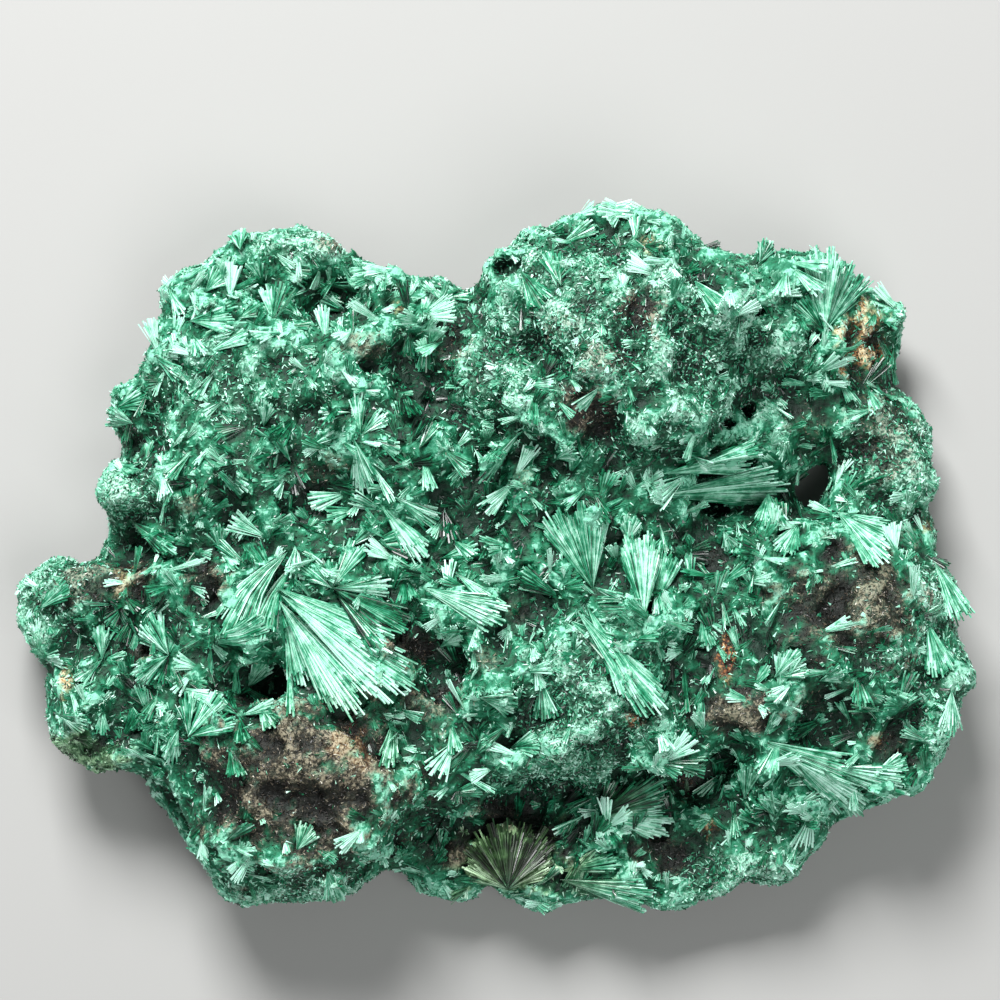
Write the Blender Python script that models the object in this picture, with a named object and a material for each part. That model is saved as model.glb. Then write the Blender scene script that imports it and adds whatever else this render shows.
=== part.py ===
"""A malachite specimen: a rough plate of intergrown crystal fans, lying on its back.

Units are metres and +Z is up. +Y runs to the upper edge of the specimen's face, and the
origin is under the middle of its bounding box, on the surface that it rests on.
All the crystals grew together, so the specimen is one solid.
"""

import math
import random

import bmesh
import bpy
from mathutils import Euler, Matrix, Vector
from mathutils.bvhtree import BVHTree

MM = 0.001

# Driving dimensions
SPECIMEN_WIDTH = 94.0 * MM
PLATE_BOTTOM = 3.0 * MM
PLATE_TOP = 6.5 * MM
ABOVE_ALL = 40.0 * MM
BELOW_ALL = -10.0 * MM
VOXEL = 0.8 * MM
BODY_TRIANGLES = 5200
ALL_TRIANGLES = 9600

# The face's outline as read from the picture, in its pixels, clockwise from the left lobe
OUTLINE_PX = (
    (12, 612), (15, 600), (21, 585), (30, 575), (44, 556), (66, 550), (90, 546), (104, 540),
    (128, 523), (105, 520), (98, 505), (97, 487), (104, 475), (113, 455), (118, 440),
    (107, 425), (102, 413), (109, 397), (127, 386), (137, 369), (146, 362), (152, 338),
    (160, 305), (155, 285), (157, 270), (176, 262), (180, 256), (208, 250), (218, 239),
    (228, 238), (236, 227), (260, 234), (272, 230), (284, 220), (298, 220), (324, 228),
    (342, 230), (344, 245), (350, 252), (378, 264), (408, 271), (432, 278), (450, 266),
    (468, 259), (482, 247), (510, 240), (530, 231), (550, 232), (580, 222), (600, 212),
    (628, 200), (645, 205), (672, 226), (690, 239), (705, 237), (710, 252), (722, 247),
    (740, 250), (748, 243), (772, 235), (800, 242), (832, 248), (858, 265), (880, 280),
    (886, 297), (903, 297), (916, 312), (915, 340), (901, 364), (918, 380), (920, 402),
    (936, 422), (942, 440), (946, 485), (941, 512), (934, 543), (944, 576), (958, 594),
    (971, 633), (980, 679), (974, 696), (956, 742), (939, 769), (906, 798), (888, 805),
    (857, 823), (831, 818), (829, 838), (805, 871), (785, 889), (739, 898), (709, 904),
    (670, 911), (640, 905), (576, 902), (548, 909), (520, 906), (495, 905), (453, 899),
    (437, 898), (418, 886), (408, 874), (397, 860), (383, 879), (370, 882), (363, 895),
    (332, 900), (318, 911), (298, 901), (258, 902), (236, 908), (209, 894), (204, 870),
    (206, 860), (183, 844), (179, 832), (153, 803), (127, 781), (89, 771), (57, 757),
    (45, 733), (49, 710), (42, 672), (42, 655), (25, 649), (18, 632),
)

# Blocks that the plate swells into: centre in pixels, half length and half width in mm,
# turn in degrees, then the heights of the block's bottom and top in mm
MASSES = {
    "crown": (
        (612, 362, 10.0, 9.4, 25, 2.0, 24.2),
        (572, 304, 6.4, 5.2, 20, 3.0, 24.4),
        (524, 300, 5.0, 4.2, 35, 3.0, 21.6),
        (556, 398, 6.6, 5.8, -20, 3.0, 22.4),
        (650, 404, 7.0, 6.4, 10, 3.0, 22.8),
        (664, 298, 5.4, 6.2, 20, 3.0, 24.0),
        (636, 248, 6.2, 4.2, 0, 3.0, 20.0),
        (702, 325, 3.6, 6.6, 12, 3.0, 22.6),
        (716, 402, 2.6, 3.8, 0, 5.0, 19.4),
        (492, 384, 5.6, 6.2, 30, 3.0, 19.8),
        (640, 448, 6.6, 4.6, 0, 3.0, 20.0),
        (585, 488, 10.5, 4.6, 0, 3.0, 17.5),
        (560, 236, 4.6, 1.2, 6, 4.0, 18.5),
        (697, 247, 1.3, 1.7, 0, 5.0, 16.0),
    ),
    "upper left": (
        (232, 362, 8.0, 7.0, 15, 2.0, 16.6),
        (318, 384, 8.6, 7.4, -10, 2.0, 17.8),
        (214, 300, 6.2, 5.4, 0, 3.0, 14.2),
        (298, 252, 5.6, 3.2, -4, 4.0, 12.8),
        (404, 322, 6.2, 5.4, 0, 3.0, 17.4),
        (360, 348, 2.7, 2.2, 0, 9.0, 20.6),
        (136, 410, 3.8, 2.9, 10, 4.0, 12.4),
        (133, 490, 3.5, 3.2, 0, 4.0, 15.4),
        (232, 478, 9.0, 7.0, 10, 2.0, 16.6),
        (385, 470, 9.2, 8.0, 0, 2.0, 17.4),
        (322, 440, 6.0, 5.0, 0, 4.0, 18.0),
    ),
    "left lobes": (
        (84, 600, 7.2, 4.8, 10, 3.0, 13.0),
        (160, 606, 7.2, 5.4, 0, 3.0, 15.0),
        (92, 690, 5.2, 4.6, 0, 3.0, 12.0),
        (92, 752, 4.6, 2.4, -20, 4.0, 10.8),
        (165, 728, 6.4, 6.2, 0, 3.0, 13.6),
        (214, 652, 6.0, 5.0, 0, 3.0, 16.0),
    ),
    "centre": (
        (292, 600, 10.0, 8.0, 0, 2.0, 17.0),
        (345, 640, 9.4, 5.4, -42, 4.0, 18.6),
        (450, 602, 8.8, 6.6, -20, 2.0, 16.8),
        (560, 560, 8.4, 7.4, 0, 2.0, 17.2),
        (652, 580, 5.8, 8.4, 0, 2.0, 17.0),
        (598, 676, 8.0, 6.8, 0, 3.0, 20.0),
        (580, 728, 7.0, 5.0, 10, 5.0, 18.4),
        (645, 742, 5.6, 4.4, 0, 5.0, 17.0),
        (498, 700, 6.0, 5.8, 0, 3.0, 16.6),
        (530, 758, 4.6, 3.2, 0, 6.0, 16.0),
        (470, 780, 4.6, 4.2, 0, 4.0, 14.0),
    ),
    "lower left dome": (
        (306, 776, 8.4, 7.6, 0, 1.0, 20.8),
        (262, 762, 5.6, 6.0, 20, 2.0, 18.6),
        (350, 796, 6.2, 6.4, -15, 2.0, 19.8),
        (284, 832, 7.0, 4.8, 0, 2.0, 17.8),
        (362, 728, 4.4, 4.4, 0, 3.0, 17.6),
        (226, 806, 4.4, 6.0, 10, 3.0, 14.4),
        (396, 760, 5.6, 7.4, 0, 2.0, 16.2),
        (300, 866, 8.6, 3.8, 0, 3.0, 14.0),
    ),
    "right": (
        (846, 632, 8.4, 7.8, 15, 1.0, 17.6),
        (806, 588, 5.8, 4.6, 0, 2.0, 17.0),
        (892, 604, 5.8, 6.0, 10, 2.0, 15.4),
        (868, 684, 7.0, 5.2, -15, 2.0, 16.2),
        (888, 728, 7.8, 6.4, -25, 2.0, 14.4),
        (762, 592, 7.8, 6.8, 0, 2.0, 16.4),
        (742, 694, 8.0, 6.4, 0, 2.0, 17.4),
        (930, 640, 4.4, 8.2, 8, 4.0, 12.4),
        (812, 772, 9.0, 4.2, -18, 3.0, 13.0),
    ),
    "upper right": (
        (784, 330, 8.0, 8.2, 0, 3.0, 13.4),
        (806, 266, 6.0, 2.6, -6, 4.0, 10.6),
        (890, 456, 5.4, 6.2, 0, 4.0, 10.6),
        (902, 326, 1.9, 2.4, 0, 4.5, 10.6),
        (846, 402, 6.2, 4.4, 0, 3.0, 12.0),
        (764, 434, 4.6, 3.8, 0, 3.0, 13.4),
        (900, 530, 4.0, 3.6, 0, 3.0, 11.4),
        (836, 556, 5.4, 3.2, 0, 3.0, 13.6),
    ),
    "lower shelf": (
        (512, 862, 8.2, 4.0, 0, 3.0, 8.8),
        (640, 852, 10.4, 5.2, 0, 3.0, 9.4),
        (756, 838, 7.6, 5.0, 12, 3.0, 9.6),
        (626, 812, 4.0, 2.2, 10, 4.0, 10.6),
    ),
}
BLOCK_SQUARENESS = 2.8
MOST_TILT = math.radians(12)

# Size and height of the lumps and the grain that roughen the face, their share on the
# back, and how much of their height is sunk below the smooth skin
LUMPS = (5.5 * MM, 6.5 * MM)
GRAIN = (2.4 * MM, 3.4 * MM)
BACK_ROUGHNESS = 0.6
SUNK_SHARE = 0.56

# Rough swellings of the back, worn flat where they touch the surface below: centre in
# pixels, half length and half width in mm, and how far they would reach under it in mm
BACK_SWELLINGS = (
    (250, 400, 11.0, 8.0, 2.0),
    (600, 330, 12.0, 8.5, 1.5),
    (300, 770, 10.0, 9.0, 1.6),
    (560, 620, 13.0, 10.0, 1.3),
    (850, 640, 10.0, 9.0, 1.8),
    (800, 350, 7.0, 6.0, 1.8),
    (640, 840, 8.0, 4.0, 1.2),
    (130, 640, 6.0, 5.0, 1.4),
)

# The hole through the plate, right of the crown, in pixels
HOLE_PX = (
    (801, 474), (812, 467), (829, 456), (833, 464), (838, 488), (829, 497), (819, 509),
    (804, 502),
)

# Pits, slots and undercuts, each an ellipsoid that is cut away: centre in pixels, half
# length and half width in mm, turn in degrees, bottom and top in mm
PITS = (
    (749, 414, 1.1, 1.2, 0, 6.5, 16.0),
    (728, 428, 1.4, 0.9, 20, 9.0, 22.0),
    (722, 458, 2.6, 0.8, 10, 10.0, 20.0),
    (760, 315, 2.2, 0.8, 20, 9.6, 18.0),
    (815, 341, 1.0, 0.9, 0, 9.5, 16.0),
    (650, 614, 1.6, 1.4, 0, 13.4, 21.0),
    (506, 745, 2.8, 1.5, 0, 12.0, 22.0),
    (516, 806, 4.2, 1.5, 8, 7.4, 13.0),
    (618, 776, 1.6, 1.0, 30, 8.6, 15.0),
    (722, 772, 2.4, 1.1, -10, 9.0, 15.0),
    (920, 520, 1.2, 1.4, 0, 7.6, 13.0),
    (786, 545, 2.1, 1.8, 0, 12.6, 20.0),
    (504, 276, 2.6, 2.0, 20, 14.5, 28.0),
    (722, 276, 2.2, 2.6, 0, 9.0, 21.0),
    (868, 345, 2.7, 3.8, 10, 8.6, 15.5),
    (374, 374, 2.6, 1.0, -10, 14.5, 19.0),
    (432, 848, 2.4, 2.2, 40, 6.4, 15.0),
    (190, 560, 4.2, 1.1, -30, 12.0, 19.0),
    (455, 340, 2.2, 1.8, 0, 16.2, 24.0),
    (744, 560, 1.2, 1.0, 0, 14.5, 20.0),
    (592, 822, 1.0, 0.9, 0, 7.0, 13.0),
    (150, 655, 1.6, 1.4, 0, 11.4, 19.0),
)

# Crystal fans: apex in pixels, heading in degrees (0 right, 90 up), length in mm and
# spread in degrees
FANS = (
    (190, 322, 5, 4.8, 55), (192, 335, -65, 2.9, 38), (166, 284, -63, 3.6, 24),
    (205, 292, 50, 3.2, 50), (300, 313, 150, 2.6, 50), (262, 283, 120, 2.6, 50),
    (240, 322, 30, 3.0, 40), (205, 460, -38, 5.8, 22), (303, 455, 25, 3.7, 20),
    (292, 465, 115, 4.0, 26), (265, 430, 80, 2.6, 40), (222, 553, 95, 2.6, 40),
    (362, 440, 40, 3.4, 30), (355, 443, -75, 5.0, 30), (375, 445, -25, 3.0, 26),
    (352, 417, 180, 3.2, 18), (520, 440, -133, 6.0, 18), (555, 465, 20, 2.2, 50),
    (826, 330, 62, 7.6, 30), (826, 330, 92, 8.2, 30), (650, 500, 8, 14.0, 16),
    (700, 472, 14, 5.6, 14), (770, 490, -90, 4.0, 55), (838, 510, -50, 5.3, 36),
    (722, 533, -60, 2.2, 50), (103, 660, 90, 3.4, 32), (103, 660, -140, 3.4, 32),
    (172, 657, 140, 4.0, 22), (172, 657, 112, 4.6, 20), (172, 657, -148, 4.2, 30),
    (130, 520, -35, 5.8, 26), (290, 555, -137, 9.2, 30), (205, 640, -5, 6.8, 26),
    (247, 688, 50, 3.4, 36), (182, 730, -115, 3.4, 36), (192, 738, 92, 4.5, 26),
    (192, 738, 55, 5.0, 28), (192, 738, 18, 4.8, 28), (243, 717, 15, 3.7, 30),
    (285, 600, -28, 13.6, 15), (285, 600, -42, 15.0, 15), (285, 600, -56, 12.4, 15),
    (335, 592, -26, 7.8, 20), (335, 592, 148, 4.0, 26), (335, 592, 62, 5.2, 26),
    (335, 592, 4, 5.4, 20), (380, 505, -50, 6.8, 16), (350, 550, 40, 3.8, 26),
    (450, 540, -38, 3.2, 26), (422, 590, -22, 8.5, 24), (455, 575, -40, 5.8, 20),
    (440, 648, 30, 2.6, 40), (592, 592, 118, 8.3, 24), (592, 592, 92, 8.0, 24),
    (642, 622, 95, 8.4, 26), (626, 545, 80, 2.6, 60), (575, 615, -50, 12.5, 16),
    (585, 605, -64, 10.0, 14), (480, 700, -10, 3.8, 40), (510, 748, 10, 3.0, 60),
    (395, 718, -95, 4.8, 20), (770, 680, 45, 3.4, 34), (770, 680, 10, 3.4, 26),
    (815, 683, 20, 2.6, 40), (936, 560, -66, 5.6, 26), (948, 700, -100, 3.4, 36),
    (755, 740, -25, 9.7, 28), (820, 765, -18, 8.4, 22), (820, 765, -42, 6.2, 22),
    (775, 818, 120, 2.9, 34), (775, 818, 62, 2.9, 34), (508, 888, 122, 6.4, 30),
    (508, 888, 90, 7.0, 30), (508, 888, 58, 6.6, 30), (598, 815, 18, 7.4, 24),
    (598, 815, -8, 7.0, 24), (600, 845, -140, 5.0, 24), (560, 878, -12, 9.4, 20),
    (745, 798, 85, 3.4, 40), (60, 715, -20, 3.4, 40), (40, 610, 40, 4.0, 40),
    (420, 330, 60, 3.4, 36), (560, 300, 110, 4.0, 34),
    (760, 262, 60, 2.6, 46), (130, 420, 160, 3.0, 46), (240, 250, 100, 2.4, 50),
    (330, 870, -70, 3.2, 46), (260, 700, -60, 3.6, 34), (700, 620, -80, 3.2, 34),
)
FAN_RISE = (0.9 * MM, 2.1 * MM)
FAN_DEPTH = 2.2 * MM
APEX_OVERLAP = (0.3 * MM, 0.8 * MM)
APEX_SUNK = (0.1 * MM, 0.6 * MM)
RIB_DEPTH = 0.45 * MM
DEGREES_PER_RIB = 14


def clear_scene():
    for found in list(bpy.data.objects):
        bpy.data.objects.remove(found, do_unlink=True)


pixel_xs = [x for x, _ in OUTLINE_PX]
pixel_ys = [y for _, y in OUTLINE_PX]
PIXEL = SPECIMEN_WIDTH / (max(pixel_xs) - min(pixel_xs))
CENTRE_PX = ((max(pixel_xs) + min(pixel_xs)) / 2, (max(pixel_ys) + min(pixel_ys)) / 2)


def on_plan(x_px, y_px, z=0.0):
    """The point over or under a place in the picture, with the picture's top at +Y."""
    return Vector(((x_px - CENTRE_PX[0]) * PIXEL, (CENTRE_PX[1] - y_px) * PIXEL, z))


def mesh_object(name, shape):
    """A linked object that holds the shape, whose bmesh is used up."""
    bmesh.ops.recalc_face_normals(shape, faces=shape.faces)
    mesh = bpy.data.meshes.new(name)
    shape.to_mesh(mesh)
    shape.free()
    made = bpy.data.objects.new(name, mesh)
    bpy.context.scene.collection.objects.link(made)
    return made


def apply_modifiers(target):
    bpy.ops.object.select_all(action="DESELECT")
    bpy.context.view_layer.objects.active = target
    target.select_set(True)
    for modifier in list(target.modifiers):
        bpy.ops.object.modifier_apply(modifier=modifier.name)


def combine(target, tool, operation, solver="EXACT"):
    """Cuts, clips or joins the target with the tool, and removes the tool."""
    boolean = target.modifiers.new("Boolean", "BOOLEAN")
    boolean.solver = solver
    boolean.operation = operation
    boolean.object = tool
    apply_modifiers(target)
    bpy.data.objects.remove(tool, do_unlink=True)


def add_prism(shape, corners_px, bottom, top):
    """A closed prism over a polygon of the picture."""
    floor_points = [shape.verts.new(on_plan(x, y, bottom)) for x, y in corners_px]
    base = shape.faces.new(floor_points)
    raised = bmesh.ops.extrude_face_region(shape, geom=[base])
    lifted = [item for item in raised["geom"] if isinstance(item, bmesh.types.BMVert)]
    bmesh.ops.translate(shape, verts=lifted, vec=(0, 0, top - bottom))


def add_block(shape, x_px, y_px, sizes_mm, turn, squareness=2.0, tilt=(0, 0), fineness=3):
    """A rounded block. sizes_mm: half length, half width, bottom and top. At a squareness
    of 2 it is an ellipsoid, and its faces get flatter as the squareness rises."""
    half_length, half_width, bottom, top = (size * MM for size in sizes_mm)
    made = bmesh.ops.create_icosphere(shape, subdivisions=fineness, radius=1)
    for vertex in made["verts"]:
        reach = sum(abs(axis) ** squareness for axis in vertex.co) ** (1 / squareness)
        vertex.co /= reach
    size = Matrix.Diagonal((half_length, half_width, (top - bottom) / 2, 1))
    turned = Euler((*tilt, math.radians(turn))).to_matrix().to_4x4()
    place = Matrix.Translation(on_plan(x_px, y_px, (top + bottom) / 2))
    bmesh.ops.transform(shape, matrix=place @ turned @ size, verts=made["verts"])


def fused_blocks():
    """The plate and everything that it swells into, as one closed skin."""
    shape = bmesh.new()
    add_prism(shape, OUTLINE_PX, PLATE_BOTTOM, PLATE_TOP)
    chance = random.Random(4)
    for group in MASSES.values():
        for x_px, y_px, half_length, half_width, turn, bottom, top in group:
            tilt = [chance.uniform(-MOST_TILT, MOST_TILT) for _ in "xy"]
            sizes = (half_length, half_width, bottom, top)
            add_block(shape, x_px, y_px, sizes, turn, BLOCK_SQUARENESS, tilt)
    for x_px, y_px, half_length, half_width, reach in BACK_SWELLINGS:
        add_block(shape, x_px, y_px, (half_length, half_width, -reach, PLATE_TOP / MM), 0)
    body = mesh_object("malachite", shape)
    fuse(body)
    return body


def fuse(target):
    """Makes one closed skin of everything that overlaps, and rounds its voxel steps."""
    remesh = target.modifiers.new("Fuse", "REMESH")
    remesh.mode = "VOXEL"
    remesh.voxel_size = VOXEL
    smooth = target.modifiers.new("Smooth", "SMOOTH")
    smooth.factor = 0.5
    smooth.iterations = 1
    apply_modifiers(target)


def clip_to_outline(target):
    clip = bmesh.new()
    add_prism(clip, OUTLINE_PX, BELOW_ALL, ABOVE_ALL)
    combine(target, mesh_object("clip", clip), "INTERSECT")
    fuse(target)


def roughen(target, size, strength):
    """Raises and sinks the skin by a cloud noise, less so on the back."""
    group = target.vertex_groups.new(name="face")
    for vertex in target.data.vertices:
        on_face = min(1.0, max(0.0, vertex.co.z / PLATE_TOP))
        group.add([vertex.index], BACK_ROUGHNESS + (1 - BACK_ROUGHNESS) * on_face, "REPLACE")
    texture = bpy.data.textures.new("noise", "CLOUDS")
    texture.noise_scale = size
    texture.noise_depth = 1
    displace = target.modifiers.new("Roughen", "DISPLACE")
    displace.texture = texture
    displace.texture_coords = "LOCAL"
    displace.vertex_group = group.name
    displace.strength = strength
    displace.mid_level = SUNK_SHARE
    apply_modifiers(target)
    target.vertex_groups.clear()
    fuse(target)


def reduce_to(target, triangles):
    target.data.calc_loop_triangles()
    decimate = target.modifiers.new("Reduce", "DECIMATE")
    decimate.ratio = min(1.0, triangles / len(target.data.loop_triangles))
    apply_modifiers(target)


def cut_pits(target):
    """The hole through the plate, and the pits and undercuts."""
    hole = bmesh.new()
    add_prism(hole, HOLE_PX, BELOW_ALL, ABOVE_ALL)
    combine(target, mesh_object("hole", hole), "DIFFERENCE")

    for x_px, y_px, half_length, half_width, turn, bottom, top in PITS:
        pit = bmesh.new()
        add_block(pit, x_px, y_px, (half_length, half_width, bottom, top), turn, fineness=1)
        combine(target, mesh_object("pit", pit), "DIFFERENCE")


def wear_back_flat(target):
    """Cuts off the swellings of the back at the surface that the specimen rests on."""
    ground = bmesh.new()
    block_size = SPECIMEN_WIDTH * 2
    block = Matrix.Translation((0, 0, -block_size / 2)) @ Matrix.Scale(block_size, 4)
    bmesh.ops.create_cube(ground, size=1, matrix=block)
    combine(target, mesh_object("ground", ground), "DIFFERENCE")


def surface_height(surface, point):
    """Height of the specimen's face over a point of the plan, or None beside it."""
    hit = surface.ray_cast(Vector((point.x, point.y, 1.0)), Vector((0, 0, -1)))[0]
    return hit.z if hit else None


def fan_shape(surface, apex_px, heading, length, spread, chance):
    """One crystal fan: ribs that flare from a sunken apex to a raised, ragged end."""
    forward = Vector((math.cos(math.radians(heading)), math.sin(math.radians(heading)), 0))
    apex = on_plan(*apex_px)
    middle = apex + forward * length * 0.8
    low, high = surface_height(surface, apex), surface_height(surface, middle)
    if high is None or abs(high - low) > length * 0.7:
        high = low - length * 0.15
    rise = chance.uniform(*FAN_RISE)
    apex -= forward * chance.uniform(*APEX_OVERLAP)
    apex.z = low - chance.uniform(*APEX_SUNK)
    slope = (high + rise - apex.z) / (length * 0.8)

    ribs = max(2, round(spread / DEGREES_PER_RIB))
    ends = []
    for step in range(2 * ribs + 1):
        across = step / (2 * ribs) * 2 - 1
        turn = math.radians(heading + across * spread / 2)
        reach = length * (1 - 0.14 * across**2) * chance.uniform(0.88, 1.0)
        crest = RIB_DEPTH if step % 2 else 0
        sag = 0.8 * MM * across**2
        lift = slope * reach + crest - sag
        ends.append(apex + Vector((math.cos(turn) * reach, math.sin(turn) * reach, lift)))

    shape = bmesh.new()
    under = Vector((0, 0, -FAN_DEPTH))
    top_ring = [shape.verts.new(point) for point in (apex, *ends)]
    low_ring = [shape.verts.new(point + under) for point in (apex, *ends)]
    count = len(top_ring)
    for place in range(1, count - 1):
        shape.faces.new((top_ring[0], top_ring[place], top_ring[place + 1]))
        shape.faces.new((low_ring[0], low_ring[place + 1], low_ring[place]))
    for place in range(count):
        following = (place + 1) % count
        shape.faces.new(
            (top_ring[place], low_ring[place], low_ring[following], top_ring[following])
        )
    bmesh.ops.triangulate(shape, faces=shape.faces)
    return shape


def grow_fans(target):
    chance = random.Random(11)
    surface = BVHTree.FromObject(target, bpy.context.evaluated_depsgraph_get())
    for x_px, y_px, heading, length, spread in FANS:
        shape = fan_shape(surface, (x_px, y_px), heading, length * MM, spread, chance)
        combine(target, mesh_object("fan", shape), "UNION", "MANIFOLD")


def settle(target):
    """Keeps the one closed skin, and centres it over the origin."""
    shape = bmesh.new()
    shape.from_mesh(target.data)
    bmesh.ops.triangulate(shape, faces=shape.faces)
    keep_largest(shape)
    xs = [v.co.x for v in shape.verts]
    ys = [v.co.y for v in shape.verts]
    middle = Vector(((max(xs) + min(xs)) / 2, (max(ys) + min(ys)) / 2, 0))
    bmesh.ops.translate(shape, verts=shape.verts, vec=-middle)
    shape.to_mesh(target.data)
    shape.free()


def keep_largest(shape):
    """Removes crumbs that a cut left beside the specimen."""
    unseen = set(shape.verts)
    islands = []
    while unseen:
        front = [unseen.pop()]
        island = set(front)
        while front:
            vertex = front.pop()
            for edge in vertex.link_edges:
                other = edge.other_vert(vertex)
                if other not in island:
                    island.add(other)
                    front.append(other)
        unseen -= island
        islands.append(island)
    largest = max(islands, key=len)
    crumbs = [v for v in shape.verts if v not in largest]
    bmesh.ops.delete(shape, geom=crumbs, context="VERTS")


def malachite_material():
    material = bpy.data.materials.new("malachite")
    material.use_nodes = True
    shader = material.node_tree.nodes["Principled BSDF"]
    shader.inputs["Base Color"].default_value = (0.05, 0.30, 0.17, 1)
    shader.inputs["Roughness"].default_value = 0.45
    shader.inputs["Metallic"].default_value = 0.0
    return material


clear_scene()
specimen = fused_blocks()
clip_to_outline(specimen)
roughen(specimen, *LUMPS)
clip_to_outline(specimen)
roughen(specimen, *GRAIN)
reduce_to(specimen, BODY_TRIANGLES)
cut_pits(specimen)
grow_fans(specimen)
reduce_to(specimen, ALL_TRIANGLES)
wear_back_flat(specimen)
settle(specimen)
specimen.data.materials.append(malachite_material())
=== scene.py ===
"""The malachite specimen as it looks: silky green crystal fans on a rough, patchy plate.

Units are metres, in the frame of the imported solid, with the crystalline face up.
"""

import math

import bpy
import numpy as np
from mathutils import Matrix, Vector, noise
from mathutils.bvhtree import BVHTree


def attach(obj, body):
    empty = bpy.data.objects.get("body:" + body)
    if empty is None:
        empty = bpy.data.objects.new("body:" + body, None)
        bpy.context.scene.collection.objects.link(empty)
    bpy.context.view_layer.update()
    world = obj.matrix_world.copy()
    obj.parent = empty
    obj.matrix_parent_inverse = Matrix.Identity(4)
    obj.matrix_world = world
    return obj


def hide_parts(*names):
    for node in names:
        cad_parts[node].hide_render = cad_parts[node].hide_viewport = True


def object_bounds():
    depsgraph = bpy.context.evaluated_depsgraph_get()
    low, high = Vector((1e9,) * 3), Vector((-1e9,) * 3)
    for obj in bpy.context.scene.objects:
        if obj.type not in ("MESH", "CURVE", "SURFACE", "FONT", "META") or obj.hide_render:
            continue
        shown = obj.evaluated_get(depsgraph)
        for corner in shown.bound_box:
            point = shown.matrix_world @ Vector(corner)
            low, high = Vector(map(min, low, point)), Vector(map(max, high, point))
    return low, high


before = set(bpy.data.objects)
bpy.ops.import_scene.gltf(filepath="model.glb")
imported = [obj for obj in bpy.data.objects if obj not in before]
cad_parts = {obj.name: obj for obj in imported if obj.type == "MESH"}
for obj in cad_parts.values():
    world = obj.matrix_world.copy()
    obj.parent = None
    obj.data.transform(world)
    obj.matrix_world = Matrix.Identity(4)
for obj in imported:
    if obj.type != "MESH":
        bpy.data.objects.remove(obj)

# Camera
# The photograph looks almost square at the crystalline face with a long lens. The
# specimen lies on its back here, so the camera looks down on it from the same side.
MM = 0.001
cad_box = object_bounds()
PHOTO_SIDE_PX = 1000
SPECIMEN_WIDTH_PX = 968
SPECIMEN_CENTRE_PX = (496, 556)
PIXEL = (cad_box[1].x - cad_box[0].x) / SPECIMEN_WIDTH_PX
FACE_HEIGHT = 0.5 * cad_box[1].z
CAMERA_ELEVATION = math.radians(85)
CAMERA_DISTANCE = 420 * MM
NEAREST_SEEN = 10 * MM


def on_plan(x_px, y_px):
    """X and Y of a place in the photograph, whose top is at +Y."""
    return (x_px - SPECIMEN_CENTRE_PX[0]) * PIXEL, (SPECIMEN_CENTRE_PX[1] - y_px) * PIXEL


target = Vector((*on_plan(PHOTO_SIDE_PX / 2, PHOTO_SIDE_PX / 2), FACE_HEIGHT))
backward = Vector((0, -math.cos(CAMERA_ELEVATION), math.sin(CAMERA_ELEVATION)))
bpy.ops.object.camera_add(
    location=target + backward * CAMERA_DISTANCE,
    rotation=(math.pi / 2 - CAMERA_ELEVATION, 0, 0),
)
camera = bpy.context.object
camera.data.lens = camera.data.sensor_width * CAMERA_DISTANCE / (PHOTO_SIDE_PX * PIXEL)
camera.data.clip_start = NEAREST_SEEN
bpy.context.scene.camera = camera

# Plate
# The massive malachite that all the crystals stand on, a solid crust that filled a crack
# in iron-rich rock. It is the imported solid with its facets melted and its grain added.
TOUCHING = 0.005 * MM
PLATE_VOXEL = 0.49 * MM
SOFTENING_ROUNDS = 2
# Size and strength of the coarse and of the fine grain
PLATE_GRAIN = ((2.6 * MM, 0.9 * MM), (0.9 * MM, 0.55 * MM))
GRAIN_DETAIL = 2


def select_only(piece):
    bpy.ops.object.select_all(action="DESELECT")
    piece.select_set(True)
    bpy.context.view_layer.objects.active = piece


def apply_modifiers(piece):
    select_only(piece)
    for modifier in list(piece.modifiers):
        bpy.ops.object.modifier_apply(modifier=modifier.name)


plate = bpy.data.objects.new("plate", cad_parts["malachite"].data.copy())
bpy.context.scene.collection.objects.link(plate)
select_only(plate)
bpy.ops.object.mode_set(mode="EDIT")
bpy.ops.mesh.select_all(action="SELECT")
bpy.ops.mesh.remove_doubles(threshold=TOUCHING)
bpy.ops.object.mode_set(mode="OBJECT")
melt = plate.modifiers.new("Melt", "REMESH")
melt.mode = "VOXEL"
melt.voxel_size = PLATE_VOXEL
soften = plate.modifiers.new("Soften", "SMOOTH")
soften.iterations = SOFTENING_ROUNDS
apply_modifiers(plate)
# The plate's shape without its grain tells which way each place of it faces
plate_shape = BVHTree.FromObject(plate, bpy.context.evaluated_depsgraph_get())
for grain_size, grain_strength in PLATE_GRAIN:
    lumps = bpy.data.textures.new("grain", "CLOUDS")
    lumps.noise_scale = grain_size
    lumps.noise_depth = GRAIN_DETAIL
    grain = plate.modifiers.new("Grain", "DISPLACE")
    grain.texture = lumps
    grain.texture_coords = "LOCAL"
    grain.strength = grain_strength
apply_modifiers(plate)


def read_vectors(items, name, size=3, kind=np.float32):
    flat = np.empty(len(items) * size, kind)
    items.foreach_get(name, flat)
    return flat.reshape(-1, size)


def move_plate_points():
    plate.data.vertices.foreach_set("co", plate_points.astype(np.float32).ravel())
    plate.data.update()


# The grain stays above the surface that the specimen rests on
plate_points = read_vectors(plate.data.vertices, "co").astype(float)
plate_points[:, 2] = np.maximum(plate_points[:, 2], 0)
move_plate_points()
plate_skin = BVHTree.FromObject(plate, bpy.context.evaluated_depsgraph_get())
plate_normals = read_vectors(plate.data.vertices, "normal").astype(float)
plate_edges = read_vectors(plate.data.edges, "vertices", 2, np.int32)

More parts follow.
